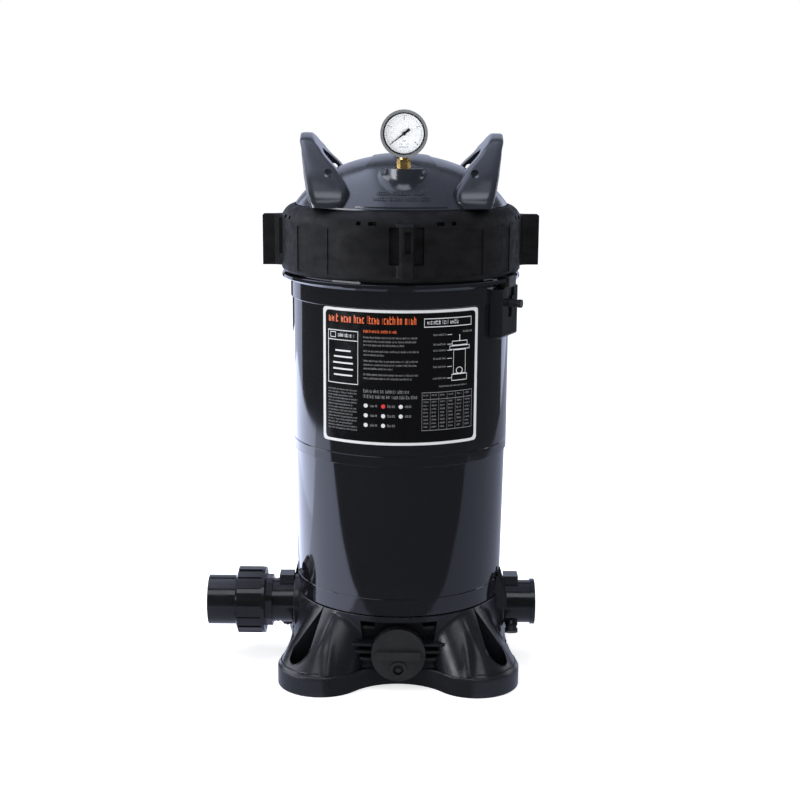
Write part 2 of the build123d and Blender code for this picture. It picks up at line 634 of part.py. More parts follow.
save(base_stand(), "base_stand")
save(port_manifold(), "port_manifold")
save(tank_lower(), "tank_lower")
save(tank_upper(), "tank_upper")
save(label_plate(), "label_plate")

save(union_adaptor(), "union_adaptor")
save(union_oring(), "union_oring")
save(union_nut(), "union_nut")
save(union_tail(), "union_tail")
for side_name, side_sign in (("left", -1), ("right", 1)):
    save(port_plug(side_sign), f"port_plug_{side_name}")
    save(plug_seal(side_sign), f"plug_seal_{side_name}")
    save(lid_handle(side_sign), f"lid_handle_{side_name}")

save(drain_cap(), "drain_cap")
save(drain_pin(), "drain_pin")
save(drain_seal(), "drain_seal")

save(lock_tab(), "lock_tab")
save(lock_knob(), "lock_knob")
save(lock_spring(), "lock_spring")
save(lock_ring(), "lock_ring")

save(lid_dome(), "lid_dome")
save(lid_oring(), "lid_oring")
save(slip_washer(), "slip_washer")

save(gauge_stem(), "gauge_stem")
save(gauge_case(), "gauge_case")
save(gauge_bezel(), "gauge_bezel")
save(gauge_dial(), "gauge_dial")
save(gauge_lens(), "gauge_lens")
save(gauge_movement(), "gauge_movement")
save(gauge_needle(), "gauge_needle")
save(bleed_body(), "bleed_body")
save(bleed_knob(), "bleed_knob")
save(bleed_oring(), "bleed_oring")

save(cartridge_pleats(), "cartridge_pleats")
save(cartridge_core(), "cartridge_core")
save(cartridge_bottom_cap(), "cartridge_bottom_cap")
save(cartridge_top_cap(), "cartridge_top_cap")
save(outlet_spigot(), "outlet_spigot")
save(spigot_oring(), "spigot_oring")
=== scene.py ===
import bpy
import bmesh
import math
import random
from mathutils import Matrix, Vector

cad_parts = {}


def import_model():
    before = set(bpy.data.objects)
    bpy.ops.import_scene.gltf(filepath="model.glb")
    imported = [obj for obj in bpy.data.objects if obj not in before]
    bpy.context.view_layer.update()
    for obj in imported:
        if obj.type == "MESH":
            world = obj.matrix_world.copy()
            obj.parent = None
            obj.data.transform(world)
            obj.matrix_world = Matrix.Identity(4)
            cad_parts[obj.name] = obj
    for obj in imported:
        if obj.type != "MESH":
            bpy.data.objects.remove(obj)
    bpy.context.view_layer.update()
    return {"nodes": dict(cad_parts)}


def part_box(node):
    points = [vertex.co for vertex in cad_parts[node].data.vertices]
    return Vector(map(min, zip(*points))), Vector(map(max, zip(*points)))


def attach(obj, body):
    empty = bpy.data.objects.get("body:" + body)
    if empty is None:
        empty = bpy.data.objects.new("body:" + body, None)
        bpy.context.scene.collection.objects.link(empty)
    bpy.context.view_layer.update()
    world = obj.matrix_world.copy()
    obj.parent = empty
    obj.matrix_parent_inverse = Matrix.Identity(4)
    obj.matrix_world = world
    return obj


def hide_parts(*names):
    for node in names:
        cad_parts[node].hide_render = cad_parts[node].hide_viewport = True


# Looks of a pool cartridge filter housing: materials, printed label, gauge face and light,
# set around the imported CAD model. Metres, +Z up, the front is -Y.

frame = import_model()
NODES = frame["nodes"]
MM = 0.001


# ---- materials ----
def new_material(name):
    mat = bpy.data.materials.new(name)
    mat.use_nodes = True
    tree = mat.node_tree
    return mat, tree, tree.nodes["Principled BSDF"]


def node(tree, kind, **settings):
    made = tree.nodes.new(kind)
    for key, value in settings.items():
        if key in made.inputs:
            made.inputs[key].default_value = value
        else:
            setattr(made, key, value)
    return made


def noise(tree, coords, scale, detail=4.0, rough=0.55, stretch=(1, 1, 1)):
    mapping = node(tree, "ShaderNodeMapping")
    mapping.inputs["Scale"].default_value = stretch
    tree.links.new(coords, mapping.inputs["Vector"])
    field = node(tree, "ShaderNodeTexNoise", Scale=scale, Detail=detail, Roughness=rough)
    tree.links.new(mapping.outputs["Vector"], field.inputs["Vector"])
    return field.outputs["Fac"]


def ramp(tree, value, stops):
    made = node(tree, "ShaderNodeValToRGB")
    elements = made.color_ramp.elements
    while len(elements) < len(stops):
        elements.new(0.5)
    for element, (place, colour) in zip(elements, stops):
        element.position = place
        element.color = (*colour, 1.0)
    tree.links.new(value, made.inputs["Fac"])
    return made.outputs["Color"]


def spread(tree, value, low, high):
    made = node(tree, "ShaderNodeMapRange")
    made.inputs["From Min"].default_value = 0.3
    made.inputs["From Max"].default_value = 0.7
    made.inputs["To Min"].default_value = low
    made.inputs["To Max"].default_value = high
    tree.links.new(value, made.inputs["Value"])
    return made.outputs["Result"]


def bump(tree, height, strength, distance, below=None):
    made = node(tree, "ShaderNodeBump", Strength=strength, Distance=distance)
    tree.links.new(height, made.inputs["Height"])
    if below is not None:
        tree.links.new(below, made.inputs["Normal"])
    return made.outputs["Normal"]


def shade(colour, factor):
    return tuple(min(1.0, c * factor) for c in colour)


def moulded(name, colour, rough, mottle=0.25, patch=14.0, grain=900.0, grain_depth=0.00004,
            wave=0.0, rough_spread=0.3, metallic=0.0, specular=0.5, stretch=(1, 1, 1), glow=0.0):
    """Moulded or machined surface: mottled colour, uneven gloss, fine grain, soft waviness; glow,
    where given, is painted light: the surface glows in its own colour.
    """
    mat, tree, shader = new_material(name)
    coords = node(tree, "ShaderNodeTexCoord").outputs["Object"]
    blotch = noise(tree, coords, patch, 5.0, 0.6, stretch)
    tree.links.new(
        ramp(tree, blotch, [(0.3, shade(colour, 1 - mottle)), (0.7, shade(colour, 1 + mottle))]),
        shader.inputs["Base Color"])
    wear = noise(tree, coords, patch * 3.1, 6.0, 0.65)
    tree.links.new(spread(tree, wear, rough * (1 - rough_spread), rough * (1 + rough_spread)),
                   shader.inputs["Roughness"])
    normal = None
    if wave:
        normal = bump(tree, noise(tree, coords, 9.0, 1.0, 0.4), 1.0, wave)
    normal = bump(tree, noise(tree, coords, grain, 2.0, 0.5), 1.0, grain_depth, normal)
    tree.links.new(normal, shader.inputs["Normal"])
    shader.inputs["Metallic"].default_value = metallic
    shader.inputs["Specular IOR Level"].default_value = specular
    # Painted light: an optional glow in the surface's own colour, though the part is no lamp.
    if glow:
        shader.inputs["Emission Color"].default_value = (*colour, 1.0)
        shader.inputs["Emission Strength"].default_value = glow
    return mat


def clear_lens():
    mat, tree, shader = new_material("lens_clear")
    coords = node(tree, "ShaderNodeTexCoord").outputs["Object"]
    haze = noise(tree, coords, 120.0, 3.0)
    tree.links.new(spread(tree, haze, 0.015, 0.05), shader.inputs["Roughness"])
    tree.links.new(ramp(tree, haze, [(0.3, (0.97, 0.98, 0.99)), (0.7, (1, 1, 1))]),
                   shader.inputs["Base Color"])
    tree.links.new(bump(tree, haze, 0.2, 0.00002), shader.inputs["Normal"])
    shader.inputs["Transmission Weight"].default_value = 1.0
    shader.inputs["IOR"].default_value = 1.05
    return mat


MATERIALS = {
    "tank_black": moulded("tank_black", (0.0078, 0.0082, 0.0105), 0.075, 0.12, 6.0,
                          420.0, 0.000004, 0.0006, 0.25),
    "lid_slate": moulded("lid_slate", (0.0185, 0.0215, 0.029), 0.21, 0.14, 10.0,
                         1100.0, 0.000012, 0.00015, 0.22, specular=0.62),
    "ring_black": moulded("ring_black", (0.0082, 0.0080, 0.0088), 0.58, 0.50, 26.0,
                          1300.0, 0.00006, 0.0, 0.25, specular=0.12, stretch=(1, 1, 2.2)),
    "stand_black": moulded("stand_black", (0.0090, 0.0100, 0.0128), 0.30, 0.18, 12.0,
                           1200.0, 0.00003, 0.0001, 0.25, specular=0.38),
    "port_black": moulded("port_black", (0.0070, 0.0078, 0.0092), 0.17, 0.2, 18.0,
                          900.0, 0.00001, 0.0001, 0.3, specular=0.36),
    "cap_black": moulded("cap_black", (0.019, 0.0195, 0.021), 0.50, 0.25, 30.0,
                         1300.0, 0.00005, 0.0, 0.2, specular=0.4),
    "seal": moulded("seal", (0.010, 0.010, 0.010), 0.62, 0.3, 60.0, 1500.0, 0.00003),
    "washer_nylon": moulded("washer_nylon", (0.055, 0.056, 0.058), 0.45, 0.15, 40.0),
    "label": moulded("label", (0.0028, 0.0028, 0.0032), 0.20, 0.12, 20.0,
                     700.0, 0.000006, 0.0003, 0.3, specular=0.35),
    "brass": moulded("brass", (0.78, 0.50, 0.17), 0.27, 0.16, 130.0, 1400.0, 0.00003,
                     metallic=1.0),
    "gauge_case": moulded("gauge_case", (0.16, 0.165, 0.17), 0.36, 0.1, 90.0, metallic=0.9),
    "gauge_bezel": moulded("gauge_bezel", (0.38, 0.39, 0.41), 0.24, 0.06, 90.0, 1500.0,
                           0.00001, metallic=0.5),
    # The dial glows faintly (glow=0.26): painted light that makes the dial look lit from the
    # front.
    "dial_white": moulded("dial_white", (0.90, 0.91, 0.92), 0.42, 0.015, 60.0, 900.0, 0.000004,
                         glow=0.26),
    "lens": clear_lens(),
    "needle_black": moulded("needle_black", (0.006, 0.006, 0.006), 0.35, 0.2, 200.0),
    "filter_media": moulded("filter_media", (0.66, 0.68, 0.70), 0.85, 0.06, 50.0, 800.0,
                            0.0002),
    "core_white": moulded("core_white", (0.62, 0.63, 0.64), 0.45, 0.05, 40.0),
    "filter_cap": moulded("filter_cap", (0.06, 0.16, 0.34), 0.42, 0.12, 30.0),
    "spring_steel": moulded("spring_steel", (0.42, 0.42, 0.43), 0.28, 0.12, 150.0, metallic=1.0),
}
PRINT_WHITE = moulded("print_white", (0.66, 0.67, 0.68), 0.38, 0.04, 60.0, 900.0, 0.000004)
PRINT_GREY = moulded("print_grey", (0.05, 0.05, 0.055), 0.4, 0.06, 60.0, 900.0, 0.000004)
PRINT_DIM = moulded("print_dim", (0.22, 0.22, 0.23), 0.4, 0.06, 60.0, 900.0, 0.000004)
PRINT_ORANGE = moulded("print_orange", (0.78, 0.13, 0.025), 0.38, 0.05, 60.0, 900.0, 0.000004)
PRINT_RED = moulded("print_red", (0.70, 0.02, 0.02), 0.38, 0.05, 60.0, 900.0, 0.000004)
PRINT_BLUE = moulded("print_blue", (0.08, 0.14, 0.42), 0.4, 0.05, 60.0, 900.0, 0.000004)

for name, obj in NODES.items():
    for place in obj.material_slots:
        key = place.material.name.split(".")[0]
        if key in MATERIALS:
            place.material = MATERIALS[key]
        else:
            print("no look for", name, key)


NODES["gauge_lens"].visible_shadow = False


# ---- mesh helpers ----
def piece(name, verts, faces, mat, body="root", slot=None, smooth=True, sharp=35.0):
    mesh = bpy.data.meshes.new(name)
    mesh.from_pydata([Vector(v) * MM for v in verts], [], faces)
    work = bmesh.new()
    work.from_mesh(mesh)
    bmesh.ops.remove_doubles(work, verts=work.verts, dist=1e-7)
    bmesh.ops.recalc_face_normals(work, faces=work.faces)
    work.to_mesh(mesh)
    work.free()
    obj = bpy.data.objects.new(name, mesh)
    bpy.context.scene.collection.objects.link(obj)
    mesh.materials.append(mat)
    if smooth:
        for poly in mesh.polygons:
            poly.use_smooth = True
        mesh.set_sharp_from_angle(angle=math.radians(sharp))
    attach(obj, body)
    return obj


class Print:
    """Thin raised ink shapes, each a closed slab, laid through a mapping (u, v, height)."""

    def __init__(self, place, step):
        self.place, self.step = place, step
        self.verts, self.faces = [], []

    def ring(self, outer, inner=None):
        """Closed slab between two loops, or over one loop that is seen as a fan."""
        n = len(outer)
        inner = inner or [(sum(p[0] for p in outer) / n, sum(p[1] for p in outer) / n)] * n
        base = len(self.verts)
        for height in (0.0, 1.0):
            for loop in (outer, inner):
                self.verts += [self.place(u, v, height) for u, v in loop]
        for k in range(n):
            m = (k + 1) % n
            o0, i0, o1, i1 = (base + j * n for j in range(4))
            self.faces += [(o1 + k, o1 + m, i1 + m, i1 + k), (o0 + k, i0 + k, i0 + m, o0 + m),
                           (o0 + k, o0 + m, o1 + m, o1 + k), (i0 + k, i1 + k, i1 + m, i0 + m)]

    def bar(self, u0, u1, v0, v1):
        n = max(1, math.ceil(abs(u1 - u0) / self.step))
        base = len(self.verts)
        for k in range(n + 1):
            u = u0 + (u1 - u0) * k / n
            self.verts += [self.place(u, v0, 0), self.place(u, v1, 0),
                           self.place(u, v1, 1), self.place(u, v0, 1)]
        for k in range(n):
            a, b = base + 4 * k, base + 4 * (k + 1)
            for j in range(4):
                i = (j + 1) % 4
                self.faces.append((a + j, a + i, b + i, b + j))
        self.faces.append((base, base + 1, base + 2, base + 3))
        end = base + 4 * n
        self.faces.append((end + 3, end + 2, end + 1, end))

    def box(self, u0, u1, v0, v1, line):
        self.bar(u0, u1, v0, v0 + line)
        self.bar(u0, u1, v1 - line, v1)
        self.bar(u0, u0 + line, v0 + line, v1 - line)
        self.bar(u1 - line, u1, v0 + line, v1 - line)

    def words(self, u0, u1, v, size, seed, letter=0.62, gap=0.34, up=-1):
        """A line of small stroke marks grouped like words; up is -1 where v runs down."""
        draw = random.Random(seed)
        u = u0
        while u < u1 - size * letter:
            for _ in range(draw.randint(3, 8)):
                width = size * letter * draw.choice((0.35, 0.8, 0.9, 1.0, 1.1))
                if u + width > u1:
                    break
                self.mark(u, u + width, v, size, draw, up)
                u += width + size * gap
            u += size * 0.6

    def mark(self, u0, u1, v, size, draw, up):
        """One mark of the height of a letter: a stem, or a pair of stems with cross strokes."""
        base, line = (v + size if up < 0 else v), size * 0.2
        wide = min(line, (u1 - u0) * 0.42)
        tall = size * (1.32 if draw.random() < 0.3 else 1.0)

        def stroke(a0, a1, h0, h1):
            b0, b1 = sorted((base + up * h0, base + up * h1))
            self.bar(a0, a1, b0, b1)

        stroke(u0, u0 + wide, 0, tall)
        if u1 - u0 < size * 0.4:
            return
        kind = draw.randint(0, 4)
        if kind in (0, 1, 3):
            stroke(u0 + wide, u1, size - line, size)
        if kind in (1, 2, 3):
            stroke(u0 + wide, u1, 0, line)
        if kind in (0, 2, 4):
            stroke(u1 - wide, u1, line if kind == 2 else 0, size - line)
        if kind in (3, 4):
            stroke(u0 + wide, u1 - wide, size * 0.45, size * 0.45 + line)

    def done(self, name, mat, body, slot):
        return piece(name, self.verts, self.faces, mat, body, slot, smooth=False)


def rounded(u0, u1, v0, v1, radius, step):
    """Loop of points round a rounded rectangle, close enough to lie on a curved wall."""
    points = []
    corners = [(u1 - radius, v1 - radius, 0), (u0 + radius, v1 - radius, 90),
               (u0 + radius, v0 + radius, 180), (u1 - radius, v0 + radius, 270)]
    for u, v, start in corners:
        for k in range(7):
            a = math.radians(start + 15 * k)
            points.append((u + radius * math.cos(a), v + radius * math.sin(a)))
    out = []
    for k, p in enumerate(points):
        q = points[(k + 1) % len(points)]
        n = max(1, round(math.dist(p, q) / step))
        out += [(p[0] + (q[0] - p[0]) * j / n, p[1] + (q[1] - p[1]) * j / n) for j in range(n)]
    return out


# ---- printed label ----
LABEL_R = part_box("label_plate")[0].y / -MM
LABEL_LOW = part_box("label_plate")[0].z / MM - 2.5
LABEL_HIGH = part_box("label_plate")[1].z / MM + 1.0
LABEL_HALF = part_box("label_plate")[1].x / MM
INK = 0.09


def on_label(u, v, height):
    """u is seen across the label from -1 to 1, v down it from 0 to 1."""
    angle = math.asin(max(-1.0, min(1.0, u * LABEL_HALF / LABEL_R)))
    radius = LABEL_R - 0.03 + INK * height
    return (radius * math.sin(angle), -radius * math.cos(angle),
            LABEL_HIGH - v * (LABEL_HIGH - LABEL_LOW))


def label_backing():
    """The black label itself, with small round corners."""
    corner, tall = 4.0, LABEL_HIGH - LABEL_LOW
    columns = [-1 + corner / LABEL_HALF * (1 - math.cos(math.pi / 2 * k / 6)) for k in range(7)]
    inner = columns[-1]
    columns += [inner + (-2 * inner) * k / 64 for k in range(1, 65)]
    columns += [-u for u in columns[5::-1]]
    verts, faces = [], []
    for u in columns:
        gap = max(0.0, corner - (1 - abs(u)) * LABEL_HALF)
        v = (corner - math.sqrt(max(0.0, corner ** 2 - gap ** 2))) / tall
        for rise, place in ((-4.8, v), (-4.8, 1 - v), (0.33, 1 - v), (0.33, v)):
            verts.append(on_label(u, place, rise))
    for k in range(len(columns) - 1):
        a, b = 4 * k, 4 * k + 4
        faces += [(a + j, a + (j + 1) % 4, b + (j + 1) % 4, b + j) for j in range(4)]
    end = len(verts) - 4
    faces += [(0, 1, 2, 3), (end + 3, end + 2, end + 1, end)]
    made = piece("label_backing", verts, faces, MATERIALS["label"], "root", "label")
    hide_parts("label_plate")


def label_print():
    white, orange, red, dim = (Print(on_label, 0.03) for _ in range(4))
    aspect = 2 * LABEL_HALF / (LABEL_HIGH - LABEL_LOW)

    def square(u0, u1, v0, v1, radius, count):
        """Rounded loop in label units, with even corners."""
        loop = rounded(u0 * aspect / 2, u1 * aspect / 2, v0, v1, radius, count)
        return [(u * 2 / aspect, v) for u, v in loop]

    outer = resample(square(-0.997, 0.997, 0.002, 0.998, 0.021, 0.02), 240)
    inner = resample(square(-0.964, 0.964, 0.0225, 0.9775, 0.0245, 0.02), 240)
    white.ring(outer, inner)
    orange.words(-0.92, 0.23, 0.062, 0.044, 3, 0.54, 0.28)
    white.box(0.30, 0.91, 0.062, 0.128, 0.006)
    white.words(0.34, 0.74, 0.083, 0.024, 5, 0.9, 0.4)
    white.box(-0.93, -0.54, 0.165, 0.56, 0.006)
    white.bar(-0.93, -0.54, 0.235, 0.241)
    white.words(-0.80, -0.58, 0.192, 0.022, 8)
    white.box(-0.90, -0.83, 0.180, 0.222, 0.005)
    for k, half in enumerate((0.10, 0.12, 0.13, 0.13, 0.12)):
        white.bar(-0.735 - half, -0.735 + half, 0.31 + 0.045 * k, 0.322 + 0.045 * k)
    orange.words(-0.47, -0.04, 0.152, 0.018, 11)
    lines = [(0.200, 0.22), (0.228, 0.20), (0.256, 0.05), (0.300, 0.24), (0.328, -0.20),
             (0.372, 0.24), (0.400, 0.22), (0.428, -0.10), (0.472, 0.24), (0.500, 0.16)]
    for k, (v, end) in enumerate(lines):
        dim.words(-0.47, end, v, 0.0115, 20 + k)
    dim.words(-0.47, 0.12, 0.590, 0.021, 41, 0.7, 0.36)
    dim.words(-0.47, 0.24, 0.630, 0.021, 42, 0.7, 0.36)
    for k in range(14):
        dim.words(-0.93, -0.55 - 0.06 * (k % 3 == 2), 0.600 + 0.0225 * k, 0.0095, 60 + k)
    for row, count in ((0.708, 3), (0.780, 3), (0.852, 2)):
        for k in range(count):
            ink = red if (row, k) == (0.708, 1) else white
            u = -0.44 + 0.225 * k
            sides = 20
            ink.ring([(u + 0.027 * math.cos(2 * math.pi * j / sides),
                       row + 0.027 * aspect / 2 * math.sin(2 * math.pi * j / sides))
                      for j in range(sides)])
            dim.words(u + 0.055, u + 0.155, row - 0.008, 0.016, 90 + k)
    # line drawing of a vessel with call-outs
    white.box(0.66, 0.86, 0.235, 0.270, 0.005)
    white.box(0.63, 0.89, 0.270, 0.300, 0.005)
    white.box(0.68, 0.84, 0.300, 0.480, 0.005)
    white.box(0.66, 0.86, 0.480, 0.530, 0.005)
    white.bar(0.755, 0.765, 0.190, 0.235)
    for k, v in enumerate((0.185, 0.255, 0.300, 0.360, 0.420, 0.505)):
        white.bar(0.60, 0.66, v, v + 0.004)
        dim.words(0.42, 0.59, v - 0.006, 0.012, 110 + k)
    for u in (0.80, 0.86):
        dim.words(u, u + 0.06, 0.165, 0.012, 120)
    white.ring([(0.76 + 0.045 * math.cos(2 * math.pi * j / 24),
                 0.455 + 0.045 * aspect / 2 * math.sin(2 * math.pi * j / 24)) for j in range(24)],
               [(0.76 + 0.036 * math.cos(2 * math.pi * j / 24),
                 0.455 + 0.036 * aspect / 2 * math.sin(2 * math.pi * j / 24)) for j in range(24)])
    dim.words(0.50, 0.86, 0.560, 0.010, 130)
    # table of sizes
    dim.box(0.28, 0.93, 0.605, 0.890, 0.004)
    dim.bar(0.28, 0.93, 0.655, 0.659)
    for k in range(1, 6):
        u = 0.28 + 0.108 * k
        dim.bar(u, u + 0.003, 0.605, 0.890)
    for row in range(9):
        for col in range(6):
            v = 0.622 if row == 0 else 0.645 + 0.0265 * row
            dim.words(0.300 + 0.108 * col, 0.365 + 0.108 * col, v, 0.0105, 200 + 6 * row + col)
    white.done("label_print_white", PRINT_WHITE, "root", "label")
    orange.done("label_print_orange", PRINT_ORANGE, "root", "label")
    red.done("label_print_red", PRINT_RED, "root", "label")
    dim.done("label_print_dim", PRINT_DIM, "root", "label")


def resample(loop, count):
    """The same closed loop as evenly spaced points."""
    lengths = [math.dist(p, loop[(k + 1) % len(loop)]) for k, p in enumerate(loop)]
    total, out, k, along = sum(lengths), [], 0, 0.0
    for j in range(count):
        target = total * j / count
        while along + lengths[k] < target:
            along += lengths[k]
            k += 1
        t = (target - along) / lengths[k]
        p, q = loop[k], loop[(k + 1) % len(loop)]
        out.append((p[0] + (q[0] - p[0]) * t, p[1] + (q[1] - p[1]) * t))
    return out


label_backing()
label_print()


# ---- gauge face ----
DIAL_LOW, DIAL_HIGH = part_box("gauge_dial")
DIAL_X, DIAL_Z = ((DIAL_LOW[i] + DIAL_HIGH[i]) / 2 / MM for i in (0, 2))
DIAL_FRONT = DIAL_LOW.y / MM


def on_dial(u, v, height):
    """u and v are millimetres right and up from the dial's centre."""
    return (DIAL_X + u, DIAL_FRONT + 0.02 - 0.08 * height, DIAL_Z + v)


def dial_mark(ink, angle, r0, r1, width):
    """Radial stroke; angle runs clockwise from straight up, in degrees."""
    a = math.radians(angle)
    along, across = (math.sin(a), math.cos(a)), (math.cos(a), -math.sin(a))
    ink.ring([(along[0] * r + across[0] * s, along[1] * r + across[1] * s)
              for r, s in ((r0, -width), (r1, -width), (r1, width), (r0, width))])


def gauge_print():
    grey, blue = (Print(on_dial, 5.0) for _ in range(2))
    first, sweep = -128.0, 256.0
    for k in range(41):
        angle = first + sweep * k / 40
        major = k % 10 == 0
        half = k % 5 == 0
        dial_mark(grey, angle, 20.8 if major else 22.0 if half else 22.8, 24.0,
                  0.40 if major else 0.22)
    for k in range(25):
        angle = first + sweep * k / 24
        dial_mark(grey, angle, 14.6 if k % 6 == 0 else 15.4, 16.2, 0.13)
    # Painted shadow: a dark ring in the seal material laid round the dial's edge, standing for the
    # shade under the bezel.
    shade_ring = Print(on_dial, 5.0)
    outer, inner = ([(r * math.cos(math.pi * k / 48), r * math.sin(math.pi * k / 48))
                     for k in range(96)] for r in (28.0, 25.9))
    shade_ring.ring(outer, inner)
    shade_ring.done("gauge_rim_painted_shadow", MATERIALS["seal"], "lid", "dial_white")
    blue.words(-6.2, 6.2, -18.6, 1.7, 301, 0.7, 0.3, up=1)
    grey.words(-2.6, 2.6, -10.2, 1.3, 302, up=1)
    grey.words(-6.0, -2.5, -14.8, 1.5, 303, up=1)
    grey.words(3.2, 6.4, -14.8, 1.5, 304, up=1)
    grey.done("gauge_marks", PRINT_GREY, "lid", "dial_white")
    blue.done("gauge_name_bar", PRINT_BLUE, "lid", "dial_white")
    numbers = []
    for k, text in enumerate(("0", "1", "2", "3", "4")):
        angle = math.radians(first + sweep * k / 4)
        numbers.append(number(text, 18.9 * math.sin(angle), 18.9 * math.cos(angle), 4.2))
    join(numbers, "gauge_numbers", PRINT_GREY, "lid")


def number(text, u, v, size):
    curve = bpy.data.curves.new("digit", "FONT")
    curve.body = text
    curve.size = size * MM
    curve.extrude = 0.04 * MM
    curve.align_x, curve.align_y = "CENTER", "CENTER"
    holder = bpy.data.objects.new("digit", curve)
    bpy.context.scene.collection.objects.link(holder)
    bpy.context.view_layer.update()
    mesh = bpy.data.meshes.new_from_object(holder)
    bpy.data.objects.remove(holder)
    place = Matrix.Translation(Vector(on_dial(u, v, 0.5)) * MM)
    mesh.transform(place @ Matrix.Rotation(math.pi / 2, 4, "X"))
    return mesh


def join(meshes, name, mat, body):
    work = bmesh.new()
    for mesh in meshes:
        work.from_mesh(mesh)
        bpy.data.meshes.remove(mesh)
    made = bpy.data.meshes.new(name)
    work.to_mesh(made)
    work.free()
    made.materials.clear()
    made.materials.append(mat)
    obj = bpy.data.objects.new(name, made)
    bpy.context.scene.collection.objects.link(obj)
    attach(obj, body)




gauge_print()


# ---- lid details ----
# The middle band of the dome is two arcs about the axis: a crown and a rounder side.
CROWN_EDGE, CROWN_Z, CROWN_R = 81.0, 511.8, 227.8
SIDE_AT, SIDE_Z, SIDE_R = 27.7, 584.1, 150.4


def on_dome(u, v, height):
    """u runs across the front of the lid in millimetres, v is the distance from its axis."""
    angle, rise = u / v, SIDE_R + height - 0.1
    turn = math.asin((v - SIDE_AT) / SIDE_R)
    radius, z = SIDE_AT + rise * math.sin(turn), SIDE_Z + rise * math.cos(turn)
    return (radius * math.sin(angle), -radius * math.cos(angle), z)


def dome_height(x, y):
    """Height of the lid's raised middle band over a plan point."""
    r = math.hypot(x, y)
    if r < CROWN_EDGE:
        return CROWN_Z + math.sqrt(CROWN_R ** 2 - r * r)
    return SIDE_Z + math.sqrt(max(0.0, SIDE_R ** 2 - (r - SIDE_AT) ** 2))


def boss_flare():
    """Hollow fillet that blends the gauge boss into the dome."""
    cx, cy, inner, wide, top = 3.0, -100.0, 26.5, 8.5, 721.8
    turns, steps = 144, 9
    verts, faces = [], []
    for k in range(turns):
        c, s = math.cos(2 * math.pi * k / turns), math.sin(2 * math.pi * k / turns)
        wall = dome_height(cx + inner * c, cy + inner * s)
        tall = max(0.0, min(wide * 1.25, top - wall))
        loop = []
        for j in range(steps):
            a = math.pi / 2 * j / (steps - 1)
            reach = inner + wide * (1 - math.cos(a))
            ground = dome_height(cx + reach * c, cy + reach * s)
            loop.append((reach, ground + tall * (1 - math.sin(a)) - 0.06))
        loop += [(reach, ground - 1.4), (inner - 1.0, wall - 1.4), (inner - 1.0, loop[0][1])]
        verts += [(cx + r * c, cy + r * s, z) for r, z in loop]
    n = steps + 3
    for k in range(turns):
        a, b = k * n, (k + 1) % turns * n
        faces += [(a + j, a + (j + 1) % n, b + (j + 1) % n, b + j) for j in range(n)]
    piece("lid_boss_flare", verts, faces, MATERIALS["lid_slate"], "lid", "lid_slate")


def dome_marks():
    """Two rows of low raised marks on the front of the lid, with no wording."""
    raised = Print(on_dome, 3.0)
    raised.words(-33, 33, 131.5, 3.6, 401, 0.7, 0.3)
    raised.words(-38, 38, 138.0, 3.6, 402, 0.7, 0.3)
    raised.done("lid_marks", MATERIALS["lid_slate"], "lid", "lid_slate")


boss_flare()
dome_marks()


# ---- mesh work ----
def carve(obj, cutters):
    """Cuts the given mesh objects out of the piece, then removes them."""
    for cutter in cutters:
        mod = obj.modifiers.new("carve", "BOOLEAN")
        mod.operation, mod.solver, mod.object = "DIFFERENCE", "EXACT", cutter
    bpy.context.view_layer.update()
    graph = bpy.context.evaluated_depsgraph_get()
    made = bpy.data.meshes.new_from_object(obj.evaluated_get(graph))
    obj.modifiers.clear()
    obj.data = made
    for cutter in cutters:
        bpy.data.objects.remove(cutter)
    for poly in made.polygons:
        poly.use_smooth = True
    made.set_sharp_from_angle(angle=math.radians(32))


def solid(verts, faces):
    """Loose closed mesh for carving, in millimetres."""
    mesh = bpy.data.meshes.new("cutter")
    mesh.from_pydata([Vector(v) * MM for v in verts], [], faces)
    work = bmesh.new()
    work.from_mesh(mesh)
    bmesh.ops.recalc_face_normals(work, faces=work.faces)
    work.to_mesh(mesh)
    work.free()
    obj = bpy.data.objects.new("cutter", mesh)
    bpy.context.scene.collection.objects.link(obj)
    return obj


def extruded(loop, place, lows, highs):
    """Prism over a loop of (u, v); place(u, v, w) gives x, y, z between w = lows and highs."""
    n = len(loop)
    verts = [place(u, v, lows) for u, v in loop] + [place(u, v, highs) for u, v in loop]
    faces = [tuple(range(n))[::-1], tuple(range(n, 2 * n))]
    faces += [(k, (k + 1) % n, n + (k + 1) % n, n + k) for k in range(n)]
    return verts, faces


def circle(radius, sides, cx=0.0, cy=0.0):
    return [(cx + radius * math.cos(2 * math.pi * k / sides),
             cy + radius * math.sin(2 * math.pi * k / sides)) for k in range(sides)]


def flat(u, v, w):
    return (u, v, w)


def along_x(u, v, w):
    return (w, u, v)


def along_y(u, v, w):
    return (u, w, v)


def lathe(profile, sides):
    """Closed turned solid about Z from (radius, z) points; radius 0 closes on the axis."""
    verts, faces, rows = [], [], []
    for radius, z in profile:
        if radius < 1e-6:
            rows.append([len(verts)] * sides)
            verts.append((0, 0, z))
        else:
            rows.append(list(range(len(verts), len(verts) + sides)))
            verts += [(x, y, z) for x, y in circle(radius, sides)]
    pairs = list(zip(rows, rows[1:] + rows[:1]))
    for a, b in pairs:
        for k in range(sides):
            m = (k + 1) % sides
            face = []
            for i in (a[k], a[m], b[m], b[k]):
                if i not in face:
                    face.append(i)
            if len(face) > 2:
                faces.append(tuple(face))
    return verts, faces


